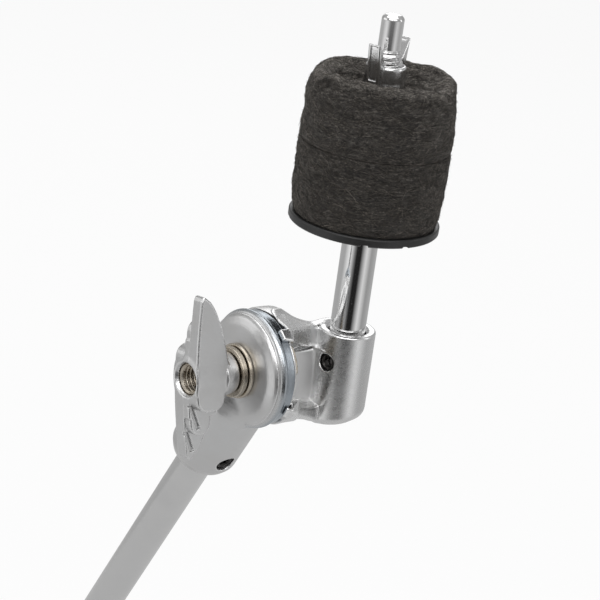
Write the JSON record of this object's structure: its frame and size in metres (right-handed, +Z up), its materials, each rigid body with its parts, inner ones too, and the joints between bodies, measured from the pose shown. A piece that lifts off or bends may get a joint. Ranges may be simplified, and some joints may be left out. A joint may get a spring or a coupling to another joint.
{
  "type": "cymbal boom arm",
  "caption": "Upper end of a cymbal boom: a boom tube with a friction tilter and wing nut, carrying a cymbal rod with a seat flange, felts and a wing nut.",
  "frame": {"origin": "centre of the flat lower end face of the boom tube's plug, which is mount boom_tube_end", "axes": "+X along the tilter bolt from the wing nut to the rod holder, +Z up along the cymbal rod at rest, +Y toward the side the boom tube leans to as it goes down"},
  "size_m": [0.0749, 0.1498, 0.3173],
  "materials": {
    "satin_chrome": "satin",
    "chrome_tube": "polished",
    "nickel": "dull nickel plate",
    "black_plastic": "satin",
    "lining": "matte",
    "black_steel": "black oxide",
    "felt": "wool felt"
  },
  "bodies": {
    "boom": {"boom_tube": "chrome_tube", "tube_end_plug": "black_plastic", "tube_holder": "satin_chrome", "tube_set_screw": "black_steel", "brake_lining": "lining"},
    "rod_arm": {"rod_holder": "satin_chrome", "rod_set_screw": "black_steel", "tilter_bolt": "nickel", "cymbal_rod": "chrome_tube"},
    "washers": {"flat_washer": "nickel", "spring_washer": "nickel"},
    "tilter_nut": {"tilter_wing_nut": "satin_chrome", "nut_insert": "nickel"},
    "seat": {"seat_flange": "black_plastic", "lower_felt": "felt"},
    "top_felt": {"upper_felt": "felt"},
    "cymbal_nut": {"cymbal_wing_nut": "satin_chrome"}
  },
  "joints": [
    {"name": "tilt", "type": "hinge", "parent": "boom", "child": "rod_arm", "pos_m": [0.0017, -0.12491, 0.22024], "axis": [1, 0, 0], "range_deg": [-120, 40]},
    {"name": "washer_travel", "type": "slide", "parent": "rod_arm", "child": "washers", "axis": [-1, 0, 0], "range_m": [0, 0.00249]},
    {"name": "tilter_nut_spin", "type": "hinge", "parent": "washers", "child": "tilter_nut", "pos_m": [-0.0183, -0.12491, 0.22024], "axis": [-1, 0, 0], "range_deg": [0, 720]},
    {"name": "seat_spin", "type": "hinge", "parent": "rod_arm", "child": "seat", "pos_m": [0.0311, -0.12491, 0.25924], "axis": [0, 0, 1], "continuous": true},
    {"name": "top_felt_lift", "type": "slide", "parent": "rod_arm", "child": "top_felt", "axis": [0, 0, 1], "range_m": [0, 0.0062]},
    {"name": "cymbal_nut_spin", "type": "hinge", "parent": "top_felt", "child": "cymbal_nut", "pos_m": [0.0311, -0.12491, 0.30024], "axis": [0, 0, 1], "range_deg": [0, 1800]}
  ],
  "couplings": [
    {"joint": "tilter_nut_spin", "follows": "washer_travel", "rad_per_m": 5026.5},
    {"joint": "cymbal_nut_spin", "follows": "top_felt_lift", "rad_per_m": 5026.5}
  ]
}
